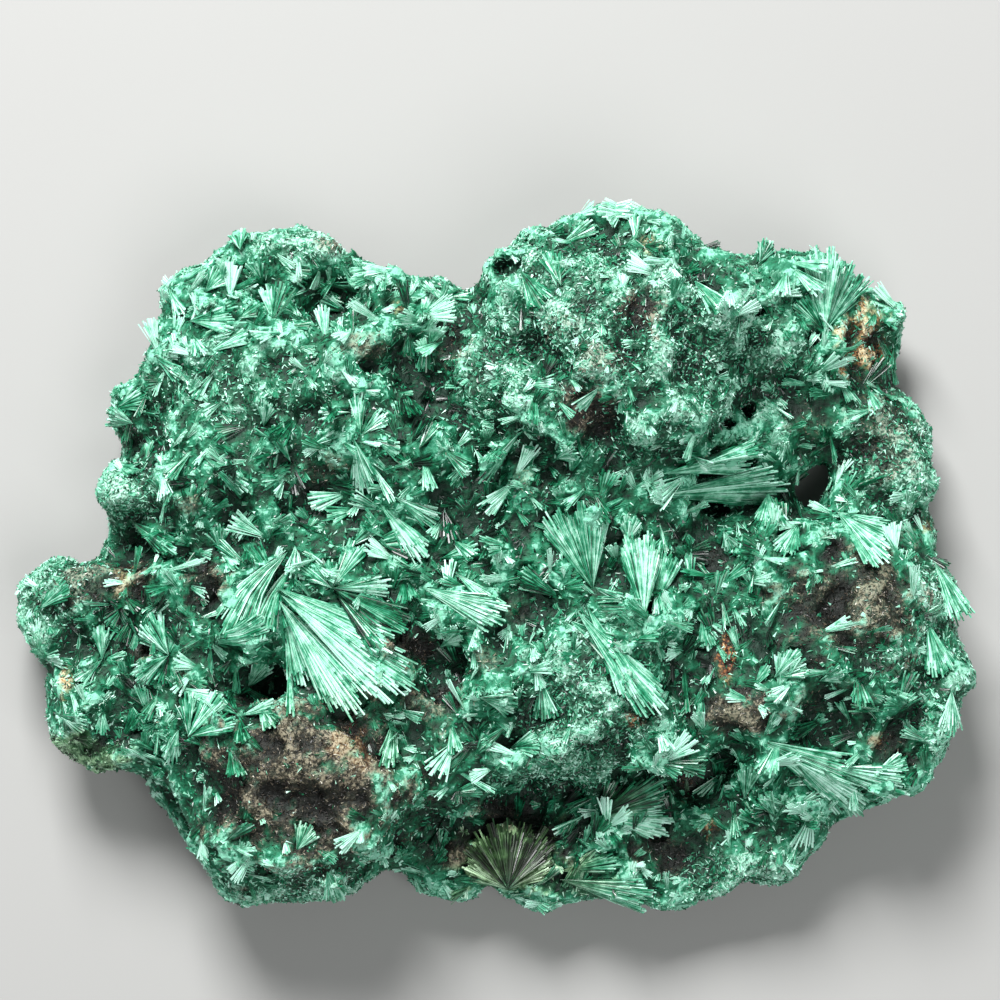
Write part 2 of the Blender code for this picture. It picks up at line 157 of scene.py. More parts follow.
# Fine and broad hollows: over how many rounds of averaging they are told from their
# surroundings, how deep a plain one is, and how much painted shade it puts on the malachite
FINE_ROUNDS = 6
FINE_DEPTH = 0.16 * MM
FINE_SHARE = 0.25
BROAD_ROUNDS = 60
BROAD_DEPTH = 0.9 * MM
BROAD_SHARE = 0.35
LEVEL_CREST = 0.5


def hollow_depth(rounds):
    """How far each point of the plate lies below the average of its surroundings."""
    ends = np.concatenate([plate_edges, plate_edges[:, ::-1]])
    neighbours = np.bincount(ends[:, 0], minlength=len(plate_points))
    average = plate_points.copy()
    for _ in range(rounds):
        for axis in range(3):
            total = np.bincount(ends[:, 0], average[ends[:, 1], axis], len(plate_points))
            average[:, axis] = total / neighbours
    return ((average - plate_points) * plate_normals).sum(axis=1)


# Painted light and shade: the malachite is painted paler on crests, as if lit, and darker
# in hollows, as if shaded: 1 on a crest, 0 in a hollow
painted_relief_light = LEVEL_CREST - FINE_SHARE * hollow_depth(FINE_ROUNDS) / FINE_DEPTH
painted_relief_light -= BROAD_SHARE * hollow_depth(BROAD_ROUNDS) / BROAD_DEPTH
painted_relief_light = np.clip(painted_relief_light, 0, 1)

# Patches of the face: centre in pixels, half length and half width in mm, turn in
# degrees, and how much of the patch the substance covers
EARTH_PATCHES = (
    (588, 420, 3.0, 3.2, 0, 1.0), (642, 322, 2.6, 2.4, 0, 0.9), (605, 370, 2.6, 1.8, 0, 0.6),
    (452, 352, 2.0, 1.8, 0, 0.6), (315, 478, 4.0, 1.6, 10, 0.6), (195, 508, 1.4, 1.2, 0, 0.6),
    (212, 585, 2.0, 3.0, 0, 0.9), (100, 582, 5.0, 2.4, 12, 0.7), (140, 585, 1.6, 2.6, 0, 0.9),
    (140, 652, 1.3, 1.3, 0, 0.9), (306, 780, 10.4, 9.2, 0, 0.97), (412, 648, 3.0, 2.0, 0, 1.0),
    (435, 705, 3.2, 2.2, 0, 0.75), (485, 660, 1.4, 1.8, 0, 0.6), (520, 615, 1.8, 1.4, 0, 0.6),
    (362, 352, 2.2, 1.6, 0, 0.8), (715, 560, 2.4, 1.8, 0, 0.65), (850, 605, 7.4, 6.2, 0, 0.9),
    (745, 715, 5.0, 2.0, 0, 0.95), (632, 720, 1.0, 1.0, 0, 0.9), (885, 745, 2.6, 1.4, 0, 0.8),
    (500, 812, 4.0, 1.5, 0, 0.9), (445, 850, 2.2, 1.8, 0, 0.9), (640, 850, 1.4, 1.2, 0, 0.8),
    (580, 860, 1.4, 1.1, 0, 0.8), (886, 432, 3.4, 4.6, 0, 0.6), (525, 478, 2.2, 1.4, 0, 0.4),
    (810, 420, 2.6, 2.6, 0, 0.4), (830, 700, 5.0, 2.0, 0, 0.4), (560, 340, 2.2, 1.6, 0, 0.4),
    (330, 240, 1.8, 0.8, 0, 0.8), (670, 855, 2.4, 2.6, 0, 0.8),
)
RUST_PATCHES = (
    (722, 657, 1.0, 2.2, 0, 1.0), (67, 685, 0.8, 1.4, 0, 1.0), (866, 340, 2.8, 4.0, 10, 0.85),
    (128, 580, 1.2, 1.8, 0, 0.4), (707, 825, 1.4, 1.1, 0, 0.8), (930, 525, 1.0, 0.8, 0, 0.6),
    (352, 745, 2.2, 2.6, 0, 0.3), (645, 258, 1.3, 1.3, 0, 0.4), (397, 310, 0.9, 0.9, 0, 0.4),
    (632, 722, 0.7, 0.7, 0, 0.8), (690, 782, 0.8, 1.4, 0, 0.7), (878, 740, 1.2, 0.8, 0, 0.5),
)
FROST_PATCHES = (
    (590, 330, 11.0, 9.0, 0, 0.85), (700, 350, 4.6, 8.4, 0, 0.8), (630, 445, 6.0, 3.0, 0, 0.6),
    (495, 385, 4.6, 5.4, 0, 0.7), (132, 490, 3.4, 3.2, 0, 0.9), (892, 460, 4.8, 6.0, 0, 0.8),
    (590, 710, 7.4, 7.4, 0, 0.8), (310, 240, 5.6, 2.0, 0, 0.7), (310, 885, 9.0, 2.2, 0, 0.8),
    (50, 600, 4.2, 4.2, 0, 0.7), (90, 740, 5.0, 3.0, 0, 0.5), (760, 360, 6.0, 7.0, 0, 0.6),
    (735, 872, 9.0, 3.0, 0, 0.7), (880, 655, 3.2, 1.6, 0, 0.6), (240, 390, 9.0, 5.0, 0, 0.4),
    (935, 700, 3.4, 6.0, 0, 0.5), (560, 780, 8.0, 1.4, 0, 0.7), (938, 590, 2.4, 7.0, -15, 0.8),
)
# Pale patches: partly paler malachite, partly painted sheen where the fibres catch the light
PALE_PATCHES = (
    (235, 300, 9.0, 6.0, 20, 1.0), (340, 650, 9.0, 5.0, -42, 1.0), (640, 560, 3.6, 7.0, 0, 0.8),
    (725, 480, 7.0, 2.0, 8, 1.0), (840, 285, 4.6, 4.2, 0, 0.8), (830, 790, 8.4, 3.2, -15, 0.9),
    (620, 650, 3.0, 7.0, 35, 0.7), (220, 720, 5.0, 4.0, 0, 0.6), (355, 470, 2.6, 4.0, 0, 0.8),
    (935, 600, 2.4, 7.0, -15, 0.9), (470, 600, 6.0, 2.6, -22, 0.7), (470, 880, 3.0, 2.0, 0, 0.5),
    (640, 815, 4.4, 2.0, 0, 0.7), (555, 540, 3.0, 5.0, 0, 0.5), (400, 530, 3.0, 4.4, 0, 0.8),
    (860, 530, 6.0, 2.4, -30, 0.8), (950, 722, 2.0, 3.0, 0, 1.0), (400, 740, 1.4, 5.0, 0, 0.9),
)
# Deep patches: partly deep green malachite, partly painted shade in hollows and under ledges
DEEP_PATCHES = (
    (430, 400, 6.0, 4.0, 0, 0.9), (785, 545, 4.6, 3.0, 0, 0.9), (230, 750, 4.0, 5.0, 0, 0.8),
    (240, 490, 8.0, 3.0, 0, 0.7), (400, 470, 6.0, 4.0, 0, 0.7), (470, 790, 7.0, 2.6, 0, 0.8),
    (700, 560, 4.0, 6.0, 0, 0.7), (780, 650, 7.0, 4.0, 0, 0.8), (880, 690, 5.0, 4.0, 0, 0.8),
    (120, 620, 6.0, 4.0, 0, 0.6), (700, 830, 5.0, 5.0, 0, 0.6), (560, 830, 4.0, 3.0, 0, 0.9),
    (500, 500, 6.0, 4.0, 0, 0.6), (740, 275, 5.0, 2.0, 0, 0.8), (600, 320, 3.0, 2.0, 0, 0.5),
)
OLIVE_PATCHES = (
    (515, 850, 7.6, 3.6, 0, 1.0), (85, 755, 4.6, 2.4, 0, 0.8), (620, 800, 2.0, 1.4, 0, 0.6),
    (330, 770, 8.0, 7.0, 0, 0.25), (575, 880, 4.0, 1.4, 0, 0.5), (690, 775, 2.0, 1.6, 0, 0.7),
)
# Size and share of the lumps that fray the patches' edges, and how soft an edge is
RAGGED = ((2.4 * MM, 0.6), (0.7 * MM, 0.5))
PATCH_EDGE = 0.35
# Falloff, gap between octaves and number of octaves of the fraying
FRACTAL = (1.0, 2.0, 2)
# The patches belong to the face, and end where the sides go down to the back
FACE_FROM = 3 * MM
FACE_BLEND = 2 * MM
# Broad earthy patches on the back and the lower sides
BACK_PATCH_SIZE = 9 * MM
BACK_CONTRAST = 2.2
BACK_SHARE = 0.3
BACK_MOST = 0.9
# How much paler or darker a patch makes the green
PALE_LIFT = 0.32
DEEP_DROP = 0.3
RUST_LIFT = 0.3


def ragged(points, size):
    """A cloudy value about 0 at each point, which frays the patches' edges."""
    return np.array([noise.fractal(Vector(point) / size, *FRACTAL) for point in points])


def coverage(points, fraying, patches):
    """How much of each point's surroundings the patches' substance covers, from 0 to 1."""
    x_px = points[:, 0] / PIXEL + SPECIMEN_CENTRE_PX[0]
    y_px = SPECIMEN_CENTRE_PX[1] - points[:, 1] / PIXEL
    covered = np.zeros(len(points))
    for patch_x, patch_y, half_length, half_width, turn, share in patches:
        cosine, sine = math.cos(math.radians(turn)), math.sin(math.radians(turn))
        along = ((x_px - patch_x) * cosine - (y_px - patch_y) * sine) * PIXEL
        across = ((x_px - patch_x) * sine + (y_px - patch_y) * cosine) * PIXEL
        depth = 1 - np.hypot(along / (half_length * MM), across / (half_width * MM))
        inside = np.clip((depth + fraying) / PATCH_EDGE, 0, 1)
        covered = np.maximum(covered, inside * share)
    return covered


def set_attribute(mesh, name, values, kind="FLOAT", part="value"):
    attribute = mesh.attributes.new(name, kind, "POINT")
    attribute.data.foreach_set(part, np.asarray(values, np.float32).ravel())


substances = {
    "earth": EARTH_PATCHES, "rust": RUST_PATCHES, "frost": FROST_PATCHES,
    "pale": PALE_PATCHES, "deep": DEEP_PATCHES, "olive": OLIVE_PATCHES,
}
fraying = sum(ragged(plate_points, size) * share for size, share in RAGGED)
on_face = np.clip((plate_points[:, 2] - FACE_FROM) / FACE_BLEND, 0, 1)
cover = {}
for name, patches in substances.items():
    cover[name] = coverage(plate_points, fraying, patches) * on_face
back_earth = np.clip(ragged(plate_points, BACK_PATCH_SIZE) * BACK_CONTRAST + BACK_SHARE, 0, 1)
cover["earth"] += back_earth * BACK_MOST * (1 - on_face)
for name in ("earth", "rust", "frost", "olive"):
    set_attribute(plate.data, name, cover[name])
# The ramps' place: the painted crest light and hollow shade, shifted by the pale, deep and rust
# patches, kept as the crest attribute
tone = painted_relief_light + PALE_LIFT * cover["pale"] - DEEP_DROP * cover["deep"] + RUST_LIFT * cover["rust"]
set_attribute(plate.data, "crest", np.clip(tone, 0, 1))


def hex_colour(code):
    """Linear colour of an sRGB hex value."""
    channels = [int(code[place : place + 2], 16) / 255 for place in (1, 3, 5)]
    linear = [c / 12.92 if c <= 0.04045 else ((c + 0.055) / 1.055) ** 2.4 for c in channels]
    return (*linear, 1)


def new_material(name):
    material = bpy.data.materials.new(name)
    material.use_nodes = True
    return material, material.node_tree.nodes["Principled BSDF"]


def connect(material, value, socket):
    """Sets a socket to a value, or links it where the value is a socket."""
    if isinstance(value, bpy.types.NodeSocket):
        material.node_tree.links.new(value, socket)
    else:
        socket.default_value = value


def add_node(material, kind, settings=None, inputs=None, stops=()):
    """A node with its settings, its inputs set or linked, and a colour ramp's stops."""
    node = material.node_tree.nodes.new(kind)
    for name, value in (settings or {}).items():
        setattr(node, name, value)
    for name, value in (inputs or {}).items():
        connect(material, value, node.inputs[name])
    for place, (position, code) in enumerate(stops):
        elements = node.color_ramp.elements
        element = elements[place] if place < len(elements) else elements.new(position)
        element.position = position
        element.color = hex_colour(code)
    return node


# Massive malachite, botryoidal to granular: copper carbonate, stained in places by dull
# brown-black iron oxide. Its colour is painted near black-green in the hollows as painted
# shade, and mint on the crests as painted light.
# Size of the lumps of each pattern, and how far it moves a colour along its ramp
PATTERNS = {"mottled": (0.7 * MM, 1.5), "speckled": (0.32 * MM, 2.2)}
PATTERN_DETAIL = 4.0
PATTERN_ROUGHNESS = 0.62
RELIEF_SIZE = 0.3 * MM
RELIEF_DEPTH = 0.2 * MM
RELIEF_STRENGTH = 0.8
massive, massive_shader = new_material("massive_malachite")
in_mesh = add_node(massive, "ShaderNodeTexCoord").outputs["Object"]
detail = {"Vector": in_mesh, "Detail": PATTERN_DETAIL, "Roughness": PATTERN_ROUGHNESS}
# The crest attribute holds the painted crest light and hollow shade, with the patches' shifts
crest = add_node(massive, "ShaderNodeAttribute", {"attribute_name": "crest"}).outputs["Fac"]
varied = {}
for name, (size, weight) in PATTERNS.items():
    lumps = add_node(massive, "ShaderNodeTexNoise", inputs={**detail, "Scale": 1 / size})
    inputs = {0: lumps.outputs["Fac"], 1: weight, 2: -0.5 * weight}
    centred = add_node(massive, "ShaderNodeMath", {"operation": "MULTIPLY_ADD"}, inputs)
    inputs = {0: crest, 1: centred.outputs[0]}
    varied[name] = add_node(massive, "ShaderNodeMath", {"operation": "ADD"}, inputs).outputs[0]
# Pattern and colours of the plain malachite and of what covers it, from painted hollow
# shade to painted crest light
MASSIVE_COLOURS = {
    "green": (
        "mottled",
        ((0.10, "#03291b"), (0.36, "#06492f"), (0.62, "#0d6a48"), (0.88, "#2f8c6a"), (1.00, "#8ad6b8")),
    ),
    "frost": (
        "speckled",
        ((0.12, "#052117"), (0.42, "#19432f"), (0.68, "#3d6f58"), (0.90, "#7cb098"), (1.00, "#bfe9d6")),
    ),
    "olive": (
        "mottled",
        ((0.15, "#070b05"), (0.40, "#14260f"), (0.62, "#294628"), (0.82, "#4a6e44"), (1.00, "#8fb482")),
    ),
    "earth": (
        "speckled",
        ((0.15, "#0a0c08"), (0.42, "#1a1b14"), (0.66, "#302d24"), (0.88, "#504a3c"), (1.00, "#8e8570")),
    ),
    "rust": (
        "speckled",
        ((0.20, "#1d0f07"), (0.45, "#56301a"), (0.66, "#93592f"), (0.85, "#c89c66"), (1.00, "#ecd6ae")),
    ),
}
# Of a mix node, input 0 is the share, 6 and 7 are the colours, and output 2 is the blend
skin = None
for name, (pattern, stops) in MASSIVE_COLOURS.items():
    inputs = {"Fac": varied[pattern]}
    colour = add_node(massive, "ShaderNodeValToRGB", None, inputs, stops).outputs["Color"]
    if skin is not None:
        share = add_node(massive, "ShaderNodeAttribute", {"attribute_name": name}).outputs["Fac"]
        inputs = {0: share, 6: skin, 7: colour}
        colour = add_node(massive, "ShaderNodeMix", {"data_type": "RGBA"}, inputs).outputs[2]
    skin = colour
lumps = add_node(massive, "ShaderNodeTexNoise", inputs={**detail, "Scale": 1 / RELIEF_SIZE})
relief = add_node(
    massive,
    "ShaderNodeBump",
    inputs={
        "Height": lumps.outputs["Fac"], "Strength": RELIEF_STRENGTH,
        "Distance": RELIEF_DEPTH,
    },
)
connect(massive, skin, massive_shader.inputs["Base Color"])
connect(massive, relief.outputs["Normal"], massive_shader.inputs["Normal"])
massive_shader.inputs["Roughness"].default_value = 0.62
massive_shader.inputs["Specular IOR Level"].default_value = 0.3
massive_shader.inputs["IOR"].default_value = 1.66


def finish_with(piece, material):
    piece.data.materials.clear()
    piece.data.materials.append(material)


finish_with(plate, massive)
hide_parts("malachite")
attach(plate, "root")

# Crystal fans
# Bundles of malachite fibres that radiate from a point, each sheet a few millimetres
# long. They grew flat along the plate, and end in a ragged, raised edge.

# Apex in pixels, heading in degrees (0 right, 90 up), length in mm, spread in degrees,
# paleness from 0 to 1, partly the fibres' own colour and partly painted sheen for how the
# fan lies to the light, and bend in degrees
FANS = (
    (190, 322, 5, 4.8, 55, 0.85, 0), (192, 335, -65, 2.9, 38, 0.9, 0), (166, 284, -63, 3.6, 24, 0.8, 0),
    (205, 292, 50, 3.2, 50, 0.75, 0), (300, 313, 150, 2.6, 50, 0.85, 0),
    (262, 283, 120, 2.6, 50, 0.9, 0), (240, 322, 30, 3.0, 40, 0.7, 0), (345, 305, 150, 3.0, 40, 0.8, 0),
    (275, 262, -20, 3.4, 34, 0.8, 0), (218, 372, -130, 4.0, 20, 0.8, 0),
    (112, 405, 20, 3.4, 50, 0.7, 0), (210, 355, 25, 4.4, 26, 0.75, 0), (205, 460, -38, 5.8, 22, 0.7, 0),
    (303, 455, 25, 3.7, 20, 0.9, 0), (292, 465, 115, 4.0, 26, 0.8, 0), (265, 430, 80, 2.6, 40, 0.9, 0),
    (222, 553, 95, 2.6, 40, 0.95, 0), (222, 553, -50, 2.6, 36, 0.95, 0),
    (362, 440, 40, 3.4, 30, 0.9, 0), (362, 440, 95, 4.2, 22, 0.85, 0),
    (355, 443, -75, 5.4, 34, 0.95, 0), (375, 445, -25, 3.0, 26, 0.8, 0),
    (352, 417, 180, 3.2, 18, 0.85, 0), (520, 440, -133, 6.0, 18, 0.75, 0),
    (555, 465, 20, 2.2, 50, 0.9, 0), (480, 480, -40, 4.0, 30, 0.6, 0), (420, 455, 60, 3.6, 30, 0.55, 0),
    (826, 330, 62, 7.6, 34, 0.7, 0), (826, 330, 94, 8.2, 34, 0.8, 0), (826, 330, 128, 4.4, 34, 0.6, 0),
    (650, 500, 8, 14.0, 17, 0.85, 0), (660, 480, 14, 10.0, 14, 0.9, 0), (700, 470, 20, 6.4, 16, 0.9, 0),
    (770, 490, -90, 4.0, 55, 0.8, 0), (838, 510, -50, 7.0, 34, 0.9, 0),
    (838, 510, -20, 6.0, 26, 0.75, 0), (722, 533, -60, 2.2, 50, 0.9, 0),
    (800, 520, -120, 4.4, 40, 0.8, 0), (745, 520, -100, 4.0, 40, 0.75, 0),
    (103, 660, 90, 3.4, 32, 0.85, 0), (103, 660, -140, 3.4, 32, 0.85, 0),
    (103, 660, 10, 2.6, 30, 0.7, 0), (172, 657, 140, 4.0, 22, 0.9, 0),
    (172, 657, 112, 4.6, 20, 0.75, 0), (172, 657, 80, 2.4, 24, 0.8, 0),
    (172, 657, -148, 4.2, 30, 0.85, 0), (172, 657, -100, 3.0, 30, 0.5, 0),
    (130, 520, -35, 5.8, 26, 0.7, 0), (290, 555, -137, 10.2, 26, 0.8, 10),
    (298, 562, -125, 8.6, 18, 0.6, 10), (205, 640, -5, 7.0, 26, 0.85, 12),
    (247, 688, 50, 3.4, 36, 0.9, 0), (182, 730, -115, 3.4, 36, 0.95, 0),
    (192, 738, 92, 4.5, 26, 0.8, 0), (192, 738, 55, 5.2, 28, 0.9, 0), (192, 738, 18, 5.0, 28, 0.75, 0),
    (243, 717, 15, 3.9, 22, 0.95, 0), (243, 717, -80, 3.0, 30, 0.45, 0),
    (243, 717, 140, 2.4, 40, 0.6, 0), (290, 665, -85, 5.6, 8, 0.9, 0),
    (278, 590, -28, 13.0, 18, 0.8, 0), (285, 600, -36, 15.4, 22, 0.97, 0),
    (282, 604, -54, 13.6, 24, 0.95, 0), (286, 612, -74, 8.0, 22, 0.9, 0),
    (335, 592, -28, 8.4, 24, 0.45, 0), (335, 592, -48, 8.0, 22, 0.4, 0),
    (335, 592, 148, 4.2, 24, 0.85, 0), (335, 592, 62, 5.6, 26, 0.85, 0), (335, 592, 4, 5.8, 20, 0.9, 0),
    (335, 592, 100, 3.0, 40, 0.5, 0), (380, 505, -50, 7.4, 22, 0.95, 0),
    (350, 550, 40, 3.8, 26, 0.75, 0), (395, 500, -30, 5.0, 26, 0.8, 0),
    (450, 540, -38, 3.2, 26, 0.85, 0), (422, 590, -22, 8.8, 24, 0.9, 0),
    (455, 575, -40, 6.2, 20, 0.8, 0), (440, 560, 10, 4.0, 30, 0.7, 0), (440, 648, 30, 2.6, 40, 0.95, 0),
    (592, 592, 118, 8.6, 28, 0.75, 0), (592, 592, 92, 8.4, 28, 0.65, 0),
    (560, 600, 150, 5.0, 34, 0.5, 0), (642, 622, 92, 8.6, 34, 0.95, 0),
    (650, 616, 70, 6.4, 24, 0.85, 0), (626, 545, 80, 2.6, 60, 0.85, 0),
    (575, 615, -50, 13.0, 20, 0.97, 0), (585, 608, -64, 10.0, 16, 0.85, 0),
    (566, 622, -34, 6.0, 24, 0.6, 0), (480, 700, -10, 3.8, 40, 0.8, 0),
    (510, 748, 10, 3.0, 60, 0.85, 0), (395, 718, -95, 5.2, 26, 0.85, 0),
    (770, 680, 45, 3.6, 34, 0.9, 0), (770, 680, 10, 3.6, 26, 0.75, 0), (815, 683, 20, 2.6, 40, 0.85, 0),
    (936, 560, -66, 6.6, 30, 0.85, 0), (925, 620, -75, 6.0, 30, 0.8, 0),
    (950, 690, -95, 4.6, 36, 0.97, 0), (755, 740, -25, 10.2, 30, 0.85, 0),
    (790, 760, -35, 8.0, 26, 0.9, 0), (820, 765, -14, 8.8, 24, 0.85, 0),
    (820, 770, -42, 6.2, 22, 0.8, 0), (870, 775, 25, 4.0, 34, 0.85, 0),
    (775, 818, 120, 2.9, 34, 0.8, 0), (775, 818, 62, 2.9, 34, 0.75, 0),
    (508, 888, 122, 6.4, 30, 0.3, 0), (508, 888, 90, 7.2, 34, 0.28, 0), (508, 888, 58, 7.0, 34, 0.3, 0),
    (508, 888, 150, 5.0, 30, 0.9, 0), (508, 888, 28, 5.4, 24, 0.85, 0), (598, 815, 24, 7.4, 30, 0.5, 0),
    (598, 815, -6, 7.4, 30, 0.9, 0), (598, 815, 55, 4.0, 40, 0.4, 0),
    (600, 845, -140, 5.4, 24, 0.85, 15), (560, 878, -12, 9.8, 20, 0.7, 0),
    (560, 870, 10, 6.0, 24, 0.6, 0), (745, 798, 85, 3.4, 40, 0.7, 0), (60, 715, -20, 3.4, 40, 0.8, 0),
    (40, 610, 40, 4.0, 40, 0.7, 0), (420, 330, 60, 3.4, 36, 0.75, 0), (560, 300, 110, 4.0, 34, 0.7, 0),
    (760, 262, 60, 2.6, 46, 0.8, 0), (130, 420, 160, 3.0, 46, 0.85, 0),
    (240, 250, 100, 2.4, 50, 0.8, 0), (330, 870, -70, 3.2, 46, 0.8, 0),
    (300, 850, 60, 3.0, 60, 0.85, 0), (260, 700, -60, 3.6, 34, 0.7, 0),
    (700, 620, -80, 3.2, 34, 0.85, 0), (560, 250, 30, 4.0, 30, 0.8, 0),
    (520, 280, -60, 4.4, 40, 0.6, 0), (690, 290, -50, 4.6, 34, 0.7, 0),
    (655, 590, -80, 3.0, 40, 0.8, 0), (540, 680, -80, 4.4, 34, 0.6, 0),
    (130, 700, -70, 3.4, 34, 0.7, 0),
)
# Corners round a fibre, points along it, and the fibres' spacing in a layer
CORNERS = 3
FIBRE_POINTS = 4
FIBRE_SPACING = 0.095 * MM
FEWEST_FIBRES = 7
FIBRE_DEPTH = 0.9
FIBRE_ROLL = 0.45
# A fibre's width at its root, how far the fibres close the fan as they widen, and how
# their widths and lengths vary. The real ones are finer than the picture can show.
LEAST_WIDTH = 0.06 * MM
CLOSING = 1.7
WIDTHS_VARY = (0.7, 1.2)
LENGTHS_VARY = (0.7, 1.0)
# The fan's edge is round and wavy, and its fibres stray a little from their headings
OUTER_SHORTER = 0.1
WAVE_HEIGHT = 0.05
WAVES = 7
STRAYING = 2.4
FAN_LAYERS = 4
LAYER_GAP = 0.13 * MM
LAYER_SHORTER = 0.04
# How a sheet lies: where the face is felt under it, how many of the bumps it clears, how
# steep it may be, and how it arches over its middle, sinks at its apex and frays
SHEET_REACHES = np.linspace(0.1, 1, 6)
SHEET_ANGLES = np.array([-0.4, 0, 0.4])
FEWEST_TOUCHES = 8
CLEARED_PERCENT = 82
STEEPEST = 1.2
ARCH = 0.05
APEX_DEPTH = 0.5 * MM
UNEVEN = 0.035 * MM
FRAYED_TIPS = 0.09 * MM
# Paleness: sectors of a fan differ, as do fibres and places along them. The lower layers
# get painted shade from the layers over them, and the apex, where it dips into the plate,
# gets painted shade too
SECTORS = 6
SECTORS_DIFFER = 0.12
FIBRES_DIFFER = 0.16
PLACES_DIFFER = 0.1
SHADED = 0.05
LOWER_LAYER_SHADE = 0.05
APEX_SHADE = 0.22
OLIVE_FRAYING = 0.2
# Streaks run along a fibre in strands of this width and length, several times coarser
# than the real ones so that they show. Each fibre has its own spot in a field of noise.
STRAND_WIDTH = 0.06 * MM
STRAND_LENGTH = 0.9 * MM
NOISE_FIELD = 500
FAN_PIECES = 2
TINY = 1e-12
UP = np.array([0, 0, 1.0])
DOWN = Vector((0, 0, -1))
# Metres above the plate from which its height is felt
SKY = 1.0
chance = np.random.default_rng(23)


def surface_height(x, y):
    """Height of the face over a point of the plan, or None beside the specimen."""
    hit = plate_skin.ray_cast(Vector((x, y, SKY)), DOWN)[0]
    return hit.z if hit else None


def unit(vectors):
    return vectors / np.maximum(np.linalg.norm(vectors, axis=-1, keepdims=True), TINY)


def build_fibres(name, bundles):
    """One mesh of slender three-sided crystals, each with a pointed root and a flat tip.

    A bundle holds, for each of its fibres, the path's points, the direction of its side
    and of its upper face, and the width, tone and share of olive at each point.
    """
    paths, sides, ups, widths, tones, olives = (np.concatenate(c) for c in zip(*bundles))
    count, points, _ = paths.shape
    corners = np.stack([sides, ups, -sides], axis=1)[:, None]
    rings = paths[:, 1:, None, :] + corners * widths[:, 1:, None, None] / 2
    shape = np.concatenate([paths[:, :1], rings.reshape(count, -1, 3)], axis=1)
    first = np.arange(count)[:, None] * shape.shape[1]
    faces = []
    for corner in range(CORNERS):
        following = (corner + 1) % CORNERS
        faces += (first + np.array([0, 1 + following, 1 + corner])).tolist()
        for ring in range(points - 2):
            low = 1 + CORNERS * ring
            high = low + CORNERS
            quad = [low + corner, low + following, high + following, high + corner]
            faces += (first + np.array(quad)).tolist()
    tip = 1 + CORNERS * (points - 2)
    faces += (first + np.array([tip, tip + 1, tip + 2])).tolist()
    mesh = bpy.data.meshes.new(name)
    mesh.from_pydata(shape.reshape(-1, 3), [], faces)
    for attribute, values in (("tone", tones), ("olive", olives)):
        around = np.repeat(values[:, 1:], CORNERS, axis=1)
        set_attribute(mesh, attribute, np.concatenate([values[:, :1], around], axis=1))
    # Each corner's place across and along its strands
    grown = np.linalg.norm(np.diff(paths, axis=1), axis=2).cumsum(axis=1) / STRAND_LENGTH
    spots = chance.uniform(0, NOISE_FIELD, (count, 1, 1))
    strand = np.zeros((count, points - 1, CORNERS, 3)) + spots[:, None]
    strand[..., 0] += widths[:, 1:, None] * np.array([0.5, 0, -0.5]) / STRAND_WIDTH
    strand[..., 1] += grown[:, :, None]
    strand = np.concatenate([np.repeat(spots, 3, axis=2), strand.reshape(count, -1, 3)], axis=1)
    set_attribute(mesh, "strand", strand, "FLOAT_VECTOR", "vector")
    piece = bpy.data.objects.new(name, mesh)
    bpy.context.scene.collection.objects.link(piece)
    return piece


def level_sheet(start, forward, length, spread):
    """Height and slopes, ahead and aside, of a flat sheet that clears most of the bumps."""
    aside = np.array([-forward[1], forward[0]])
    rows = []
    for reach in SHEET_REACHES * length:
        for angle in SHEET_ANGLES * spread:
            ahead, off = reach * math.cos(angle), reach * math.sin(angle)
            height = surface_height(*(start + forward * ahead + aside * off))
            if height is not None:
                rows.append((1, ahead, off, height))
    if len(rows) < FEWEST_TOUCHES:
        return None
    rows = np.array(rows)
    sheet = np.linalg.lstsq(rows[:, :3], rows[:, 3], rcond=None)[0]
    sheet[1:] = np.clip(sheet[1:], -STEEPEST, STEEPEST)
    sheet[0] += np.percentile(rows[:, 3] - rows[:, :3] @ sheet, CLEARED_PERCENT)
    return sheet


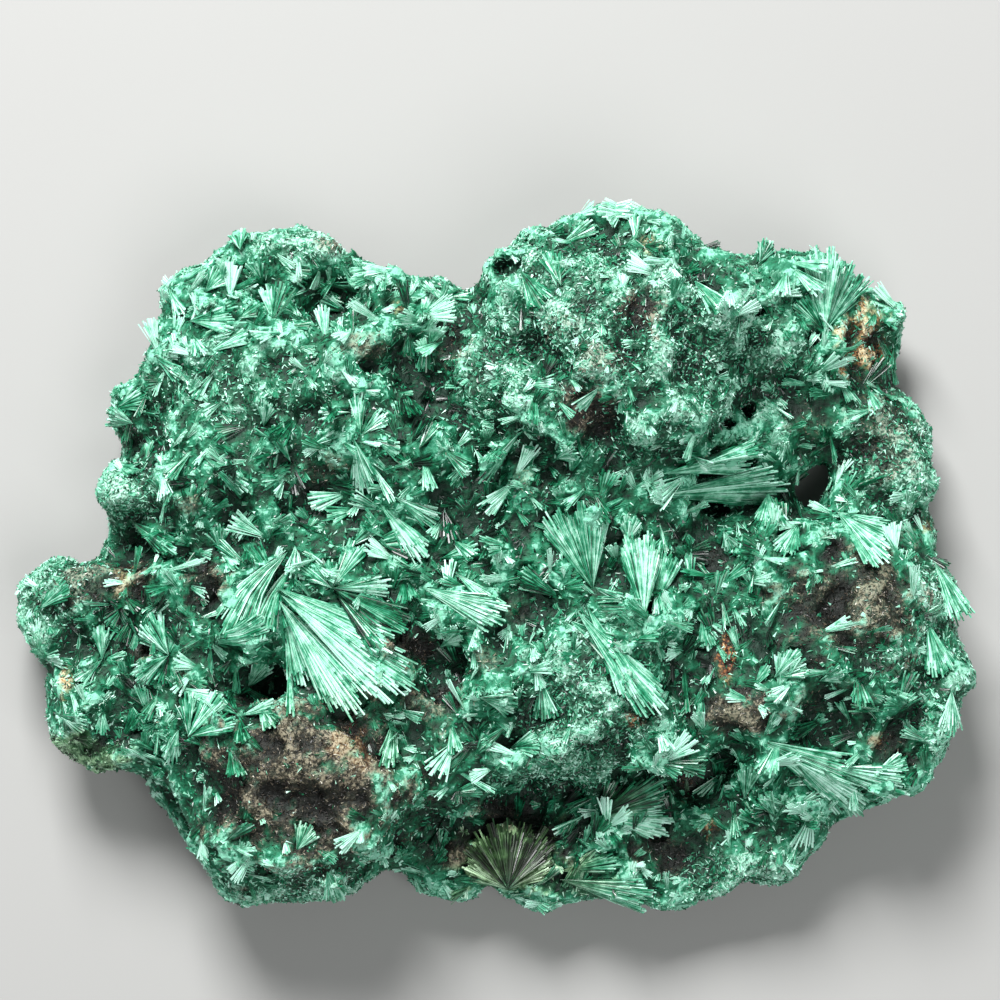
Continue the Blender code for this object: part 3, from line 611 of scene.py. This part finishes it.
def lay_fan(apex_px, heading, length, spread, paleness, bend):
    """The bundles of one fan, in layers on a flat sheet that follows the face below it."""
    start = np.array(on_plan(*apex_px))
    turn, spread, bend = math.radians(heading), math.radians(spread), math.radians(bend)
    forward = np.array([math.cos(turn), math.sin(turn)])
    aside = np.array([-forward[1], forward[0]])
    sheet = level_sheet(start, forward, length, spread)
    if sheet is None:
        return []
    in_layer = max(FEWEST_FIBRES, int(spread * length / FIBRE_SPACING))
    steps = np.linspace(0, 1, FIBRE_POINTS)[None]
    sectors = chance.normal(0, SECTORS_DIFFER, SECTORS)
    bundles = []
    for layer in range(FAN_LAYERS):
        share = (np.arange(in_layer) + chance.uniform(0, 1, in_layer)) / in_layer * 2 - 1
        reach = length * (1 - OUTER_SHORTER * share**2) * chance.uniform(*LENGTHS_VARY, in_layer)
        reach *= 1 + WAVE_HEIGHT * np.sin(share * WAVES + heading) - LAYER_SHORTER * layer
        angle = (share * spread / 2)[:, None] + bend * steps**2
        wander = chance.normal(0, STRAYING, in_layer)[:, None] * spread / in_layer * steps
        ahead = reach[:, None] * steps * np.cos(angle + wander)
        off = reach[:, None] * steps * np.sin(angle + wander)
        plan = start + forward * ahead[..., None] + aside * off[..., None]
        height = sheet[0] + sheet[1] * ahead + sheet[2] * off
        height += ARCH * length * steps * (1 - share[:, None] ** 2)
        height -= APEX_DEPTH * (1 - steps) ** 2 + LAYER_GAP * layer
        height += chance.normal(0, UNEVEN, in_layer)[:, None]
        height += chance.normal(0, FRAYED_TIPS, in_layer)[:, None] * steps**2
        paths = np.concatenate([plan, height[..., None]], axis=2)
        along = unit(paths[:, -1] - paths[:, 0])
        flat = unit(np.cross(UP, along))
        over = np.cross(along, flat)
        roll = chance.normal(0, FIBRE_ROLL, in_layer)[:, None]
        sides = flat * np.cos(roll) + over * np.sin(roll)
        ups = np.cross(along, sides) * FIBRE_DEPTH
        widths = LEAST_WIDTH + CLOSING * spread * reach[:, None] * steps / in_layer
        widths = widths * chance.uniform(*WIDTHS_VARY, in_layer)[:, None]
        # The fan's paleness is partly its own colour and partly painted sheen
        tones = paleness + np.interp(share, np.linspace(-1, 1, SECTORS), sectors)[:, None]
        tones = tones + chance.normal(0, FIBRES_DIFFER, in_layer)[:, None]
        tones = tones - LOWER_LAYER_SHADE * layer - SHADED - APEX_SHADE * (1 - steps) ** 2
        tones = tones + chance.normal(0, PLACES_DIFFER, paths.shape[:2])
        olives = coverage(paths.reshape(-1, 3), OLIVE_FRAYING, OLIVE_PATCHES)
        bundles.append((paths, sides, ups, widths, tones, olives.reshape(tones.shape)))
    return bundles


fan_bundles = []
for apex_x, apex_y, heading, length, spread, paleness, bend in FANS:
    fan_bundles += lay_fan((apex_x, apex_y), heading, length * MM, spread, paleness, bend)

# The plate is sunk a little under most of a fan's length, where its lumps would come
# through, but not at its low rim
SUNK_UNDER_FANS = 0.55 * MM
SUNK_LENGTH = 0.95
SUNK_ABOVE = 5 * MM


def under_a_fan(points):
    """Whether each point lies under one of the large fans."""
    found = np.zeros(len(points), bool)
    for apex_x, apex_y, heading, length, spread, _, _ in FANS:
        start_x, start_y = on_plan(apex_x, apex_y)
        run_x, run_y = points[:, 0] - start_x, points[:, 1] - start_y
        off = (np.degrees(np.arctan2(run_y, run_x)) - heading + 180) % 360 - 180
        near = np.hypot(run_x, run_y) < length * MM * SUNK_LENGTH
        found |= near & (np.abs(off) < spread / 2) & (points[:, 2] > SUNK_ABOVE)
    return found


plate_points[under_a_fan(plate_points), 2] -= SUNK_UNDER_FANS
move_plate_points()

# Silky malachite: parallel fibres that shine across their length. Their tone paints them
# mint where they would lie in the light, partly paler fibres and partly painted sheen, and
# deep emerald between, partly painted shade. The olive ones are thin over brown rock.
# The cloudy patches within a fan have a real size, and the weights say how far the
# streaks and the clouds move a colour along its ramp.
CLOUD_SIZE = 1.1 * MM
CLOUD_DETAIL = 3.0
CLOUD_WEIGHT = 1.3
STREAK_DETAIL = 2.0
STREAK_WEIGHT = 0.9
EMERALD_COLOURS = (
    (0.00, "#01180e"), (0.20, "#04462d"), (0.40, "#0b7a4f"), (0.60, "#3c9f7a"),
    (0.80, "#7ecbaa"), (0.95, "#a8e9cf"), (1.00, "#c4f7e4"),
)
MOSSY_COLOURS = (
    (0.00, "#080e05"), (0.35, "#233f1f"), (0.62, "#44653c"), (0.85, "#7da274"), (1.00, "#c2e6bb"),
)
silky, silky_shader = new_material("silky_malachite")
strand = add_node(silky, "ShaderNodeAttribute", {"attribute_name": "strand"}).outputs["Vector"]
inputs = {"Vector": strand, "Scale": 1.0, "Detail": STREAK_DETAIL}
streaks = add_node(silky, "ShaderNodeTexNoise", inputs=inputs).outputs["Fac"]
in_mesh = add_node(silky, "ShaderNodeTexCoord").outputs["Object"]
inputs = {"Vector": in_mesh, "Scale": 1 / CLOUD_SIZE}
inputs.update({"Detail": CLOUD_DETAIL, "Roughness": PATTERN_ROUGHNESS})
clouds = add_node(silky, "ShaderNodeTexNoise", inputs=inputs).outputs["Fac"]
shade = add_node(silky, "ShaderNodeAttribute", {"attribute_name": "tone"}).outputs["Fac"]
for pattern, weight in ((streaks, STREAK_WEIGHT), (clouds, CLOUD_WEIGHT)):
    inputs = {0: pattern, 1: weight, 2: -0.5 * weight}
    centred = add_node(silky, "ShaderNodeMath", {"operation": "MULTIPLY_ADD"}, inputs)
    inputs = {0: shade, 1: centred.outputs[0]}
    shade = add_node(silky, "ShaderNodeMath", {"operation": "ADD"}, inputs).outputs[0]
emerald = add_node(silky, "ShaderNodeValToRGB", None, {"Fac": shade}, EMERALD_COLOURS)
mossy = add_node(silky, "ShaderNodeValToRGB", None, {"Fac": shade}, MOSSY_COLOURS)
share = add_node(silky, "ShaderNodeAttribute", {"attribute_name": "olive"}).outputs["Fac"]
inputs = {0: share, 6: emerald.outputs["Color"], 7: mossy.outputs["Color"]}
fibre_colour = add_node(silky, "ShaderNodeMix", {"data_type": "RGBA"}, inputs).outputs[2]
connect(silky, fibre_colour, silky_shader.inputs["Base Color"])
silky_shader.inputs["Roughness"].default_value = 0.36
silky_shader.inputs["IOR"].default_value = 1.75
for part in range(FAN_PIECES):
    fans = build_fibres(f"crystal_fans_{part + 1}", fan_bundles[part::FAN_PIECES])
    finish_with(fans, silky)
    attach(fans, "root")

# Small fans
# Between the large fans the whole face is a felt of smaller ones, in sheets that lean
# every way. They are rare on the iron patches, and short on the frosted ones and sides.
SMALL_FANS = 5200
SPARE_PLACES = 1.3
LOWEST_FAN = 3 * MM
SMALL_FAN_PIECES = 3
FIBRES_PER_FAN = 22
# How much the iron and frosted patches keep the fans off, and how much they shorten them
IRON_BARE = 0.97
FROST_BARE = 0.35
FROST_SHORTENS = 0.85
EARTH_SHORTENS = 0.5
# A fan on the sides is short and flat. One on the face adds a length in mm, whose square
# root is drawn from a range, and leans by more degrees. A place is on the face where its
# normal points up by more than a share of its length, and the change is gradual.
SIDE_FAN_LENGTH = 0.8 * MM
FACE_LENGTH_ROOTS = (0.4, 1.9)
SIDE_LEAN = 4
FACE_LEANS = (2, 30)
SIDE_NORMAL = 0.25
NORMAL_BLEND = 0.5
# Spread in degrees, and how the fan rolls, frays and varies
SMALL_SPREADS = (8, 42)
SHEET_ROLL = 0.45
SMALL_STRAY = 0.035
SMALL_LENGTHS_VARY = (0.72, 1.0)
SMALL_ROLL = 0.4
# Its root is a foot of some width, a little behind its place and below the surface, and
# its tips nearly close the fan
FOOT_WIDTH = 0.3 * MM
FOOT_BEHIND = 0.25 * MM
FOOT_BELOW = 0.1 * MM
TIPS_CLOSING = 2.4
NARROWEST_TIP = 0.1 * MM
WIDEST_TIP = 0.24 * MM
# Paleness of the fans and the share of each, partly their own colour and partly painted
# sheen, and what shifts it. The crest value brings in painted light on crests and painted
# shade in hollows, and each fibre gets painted shade at its root and painted light at its tip
SMALL_TONES = (0.88, 0.62, 0.4, 0.2)
TONE_SHARES = (0.34, 0.26, 0.24, 0.16)
PALE_TONE = 0.2
DEEP_TONE = 0.28
FROST_TONE = 0.08
CREST_TONE = 0.5
SMALL_FIBRES_DIFFER = 0.1
ROOT_SHADE_AND_TIP_LIGHT = np.array([-0.2, 0.06])

plate.data.calc_loop_triangles()
plate_triangles = read_vectors(plate.data.loop_triangles, "vertices", 3, np.int32)
corner_points = plate_points[plate_triangles]
crossed = np.cross(
    corner_points[:, 1] - corner_points[:, 0], corner_points[:, 2] - corner_points[:, 0]
)
triangle_areas = np.linalg.norm(crossed, axis=1)


def scattered(count, low_z, liking):
    """Points on the plate above a height, by area times a liking, and what covers them."""
    middle = corner_points[:, :, 2].mean(axis=1)
    weight = triangle_areas * (middle > low_z) * liking[plate_triangles].mean(axis=1)
    chosen = chance.choice(len(plate_triangles), count, p=weight / weight.sum())
    shares = chance.dirichlet((1, 1, 1), count)
    points = (corner_points[chosen] * shares[:, :, None]).sum(axis=1)
    values = {"crest": painted_relief_light, **cover}
    here = {name: (v[plate_triangles[chosen]] * shares).sum(axis=1) for name, v in values.items()}
    here["normal"] = unit(crossed[chosen])
    return points, here


def small_fan(point, at):
    """The bundle of one small fan at a point, where at is what covers the plate there."""
    normal = np.array(plate_shape.find_nearest(Vector(point))[1])
    upright = min(max((normal[2] - SIDE_NORMAL) / NORMAL_BLEND, 0), 1)
    shortened = (1 - FROST_SHORTENS * at["frost"]) * (1 - EARTH_SHORTENS * at["earth"])
    on_top = upright * chance.uniform(*FACE_LENGTH_ROOTS) ** 2 * shortened * MM
    length = SIDE_FAN_LENGTH + on_top
    lean = math.radians(SIDE_LEAN + upright * chance.uniform(*FACE_LEANS))
    tangent = unit(np.cross(normal, chance.normal(0, 1, 3)))
    if surface_height(*(point + tangent * length)[:2]) is None:
        tangent = -tangent
    if surface_height(*(point + tangent * length)[:2]) is None:
        length = SIDE_FAN_LENGTH
    axis = tangent * math.cos(lean) + normal * math.sin(lean)
    level = unit(np.cross(normal, tangent))
    roll = chance.normal(0, SHEET_ROLL)
    across = level * math.cos(roll) + np.cross(axis, level) * math.sin(roll)
    over = np.cross(axis, across)
    spread = math.radians(chance.uniform(*SMALL_SPREADS))
    angle = (np.arange(FIBRES_PER_FAN) + chance.uniform(0, 1, FIBRES_PER_FAN)) / FIBRES_PER_FAN
    angle = (angle - 0.5) * spread
    stray = chance.normal(0, SMALL_STRAY, FIBRES_PER_FAN)[:, None]
    ways = axis * np.cos(angle)[:, None] + across * np.sin(angle)[:, None] + over * stray
    reach = length * chance.uniform(*SMALL_LENGTHS_VARY, FIBRES_PER_FAN)
    aside = chance.uniform(-0.5, 0.5, FIBRES_PER_FAN)[:, None] * FOOT_WIDTH * across
    start = point - axis * FOOT_BEHIND - normal * FOOT_BELOW + aside
    paths = np.stack([start, start + ways * reach[:, None]], axis=1)
    turned = chance.normal(0, SMALL_ROLL, FIBRES_PER_FAN)[:, None]
    sides = across * np.cos(turned) + over * np.sin(turned)
    ups = np.cross(ways, sides) * FIBRE_DEPTH
    tip_width = max(TIPS_CLOSING * spread * length / FIBRES_PER_FAN, NARROWEST_TIP)
    widths = np.full((FIBRES_PER_FAN, 2), min(tip_width, WIDEST_TIP))
    own = chance.choice(SMALL_TONES, p=TONE_SHARES)
    own += PALE_TONE * at["pale"] - DEEP_TONE * at["deep"] + FROST_TONE * at["frost"]
    # Painted light on crests and painted shade in hollows
    own += CREST_TONE * (at["crest"] - LEVEL_CREST)
    tones = own + chance.normal(0, SMALL_FIBRES_DIFFER, FIBRES_PER_FAN)[:, None] + ROOT_SHADE_AND_TIP_LIGHT
    olives = np.full((FIBRES_PER_FAN, 2), at["olive"])
    return paths, sides, ups, widths, tones, olives


iron = np.maximum(cover["earth"], cover["rust"])
liking = (1 - IRON_BARE * iron) * (1 - FROST_BARE * cover["frost"])
points, here = scattered(int(SMALL_FANS * SPARE_PLACES), LOWEST_FAN, liking)
free = np.flatnonzero(~under_a_fan(points))[:SMALL_FANS]
bundles = []
for place in free:
    bundles.append(small_fan(points[place], {name: v[place] for name, v in here.items()}))
for part in range(SMALL_FAN_PIECES):
    felt = build_fibres(f"small_fans_{part + 1}", bundles[part::SMALL_FAN_PIECES])
    finish_with(felt, silky)
    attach(felt, "root")

# Splinters
# Tiny broken crystals that dust the whole face: mint and white on the frosted lumps,
# and beige on the iron patches. They lie every way, and each glints on its own.
# Where they lie, how far they tilt, their shape as shares of their half sizes, and how
# the place shifts their paleness
LOWEST_SPLINTER = 2.5 * MM
SPLINTER_LIFT = 0.06 * MM
SPLINTER_TILT = 0.45
TAIL_LENGTH = 0.7
CHIP_HEIGHT = 0.8
# The crest value shifts the splinters by its painted light on crests and painted shade in hollows, and
# the deep patches partly by painted shade
SPLINTER_CREST_TONE = 0.4
SPLINTER_DEEP_TONE = 0.25


def dust(name, count, liking, lengths, widths, tones, material):
    """One mesh of splinters, each a four-faced chip on the plate. Its sizes are in mm."""
    points, here = scattered(count, LOWEST_SPLINTER, liking)
    normals = here["normal"]
    points = points + normals * SPLINTER_LIFT
    along = unit(np.cross(normals, chance.normal(0, 1, (count, 3))))
    along = unit(along + normals * chance.normal(0, SPLINTER_TILT, (count, 1)))
    aside = unit(np.cross(along, chance.normal(0, 1, (count, 3))))
    over = np.cross(along, aside)
    half_length = chance.uniform(*lengths, (count, 1)) * MM / 2
    half_width = chance.uniform(*widths, (count, 1)) * MM / 2
    tail = points - along * half_length * TAIL_LENGTH
    ends = [
        points + along * half_length, tail + aside * half_width,
        tail - aside * half_width, points + over * half_width * CHIP_HEIGHT,
    ]
    first = np.arange(count)[:, None] * len(ends)
    faces = []
    for corners in ((0, 2, 1), (0, 1, 3), (1, 2, 3), (2, 0, 3)):
        faces += (first + np.array(corners)).tolist()
    mesh = bpy.data.meshes.new(name)
    mesh.from_pydata(np.stack(ends, axis=1).reshape(-1, 3), [], faces)
    own = chance.uniform(*tones, count)
    # Painted light on crests and painted shade in hollows, then the deep patches' partly painted shade
    own = own + SPLINTER_CREST_TONE * (here["crest"] - LEVEL_CREST)
    own = own - SPLINTER_DEEP_TONE * here["deep"]
    set_attribute(mesh, "tone", np.repeat(own, len(ends)))
    set_attribute(mesh, "olive", np.repeat(here["olive"], len(ends)))
    spots = np.repeat(chance.uniform(0, NOISE_FIELD, (count, 3)), len(ends), axis=0)
    set_attribute(mesh, "strand", spots, "FLOAT_VECTOR", "vector")
    piece = bpy.data.objects.new(name, mesh)
    bpy.context.scene.collection.objects.link(piece)
    finish_with(piece, material)
    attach(piece, "root")


# Few splinters lie under the large fans, and most of the mint ones on the frost
MINT_EVERYWHERE = 0.55
MINT_ON_FROST = 2.0
MINT_OFF_EARTH = 1.7
MINT_RANGE = (0.05, 3)
BEIGE_EVERYWHERE = 0.01
FANS_KEEP_OFF = 0.85
bare = 1 - FANS_KEEP_OFF * under_a_fan(plate_points)
mint_liking = MINT_EVERYWHERE + cover["frost"] * MINT_ON_FROST - MINT_OFF_EARTH * cover["earth"]
dust(
    "mint_splinters", count=49000, liking=np.clip(mint_liking, *MINT_RANGE) * bare,
    lengths=(0.25, 0.9), widths=(0.1, 0.3), tones=(0.0, 1.05), material=silky,
)

# Iron-stained splinters: clear to beige crystals with a thin brown film.
BEIGE_COLOURS = (
    (0.0, "#0d0a08"), (0.35, "#342b23"), (0.6, "#6d6252"), (0.8, "#b3ab97"), (1.0, "#ece9da"),
)
stained, stained_shader = new_material("stained_splinters")
shade = add_node(stained, "ShaderNodeAttribute", {"attribute_name": "tone"}).outputs["Fac"]
beige = add_node(stained, "ShaderNodeValToRGB", None, {"Fac": shade}, BEIGE_COLOURS)
connect(stained, beige.outputs["Color"], stained_shader.inputs["Base Color"])
stained_shader.inputs["Roughness"].default_value = 0.4
stained_shader.inputs["IOR"].default_value = 1.6
dust(
    "beige_splinters", count=18000, liking=(BEIGE_EVERYWHERE + iron * on_face) * bare,
    lengths=(0.15, 0.6), widths=(0.06, 0.14), tones=(-0.55, 0.78), material=stained,
)

# Studio
# A plain pale floor, a broad soft lamp beyond the specimen's upper edge and a weaker one
# towards the camera.
FLOOR_SIDE = 6.0
FLOOR_GAP = 0.02 * MM
bpy.ops.mesh.primitive_plane_add(size=FLOOR_SIDE, location=(0, 0, -FLOOR_GAP))
floor = bpy.context.object
floor.name = "floor"
paper, paper_shader = new_material("pale_paper")
paper_shader.inputs["Base Color"].default_value = hex_colour("#a9a9a7")
paper_shader.inputs["Roughness"].default_value = 0.8
finish_with(floor, paper)


def soft_lamp(name, place, side, watts):
    bpy.ops.object.light_add(type="AREA", location=place)
    lamp = bpy.context.object
    lamp.name = name
    lamp.data.size = side
    lamp.data.energy = watts
    lamp.rotation_euler = (target - lamp.location).to_track_quat("-Z", "Y").to_euler()


soft_lamp("key", place=(-0.12, 0.38, 0.42), side=0.24, watts=6.2)
soft_lamp("fill", place=(0.20, -0.30, 0.60), side=0.40, watts=2.2)

world = bpy.data.worlds.new("studio")
world.use_nodes = True
background = world.node_tree.nodes["Background"]
background.inputs["Color"].default_value = hex_colour("#dfe3e6")
background.inputs["Strength"].default_value = 0.17
bpy.context.scene.world = world
bpy.context.scene.view_settings.view_transform = "Standard"
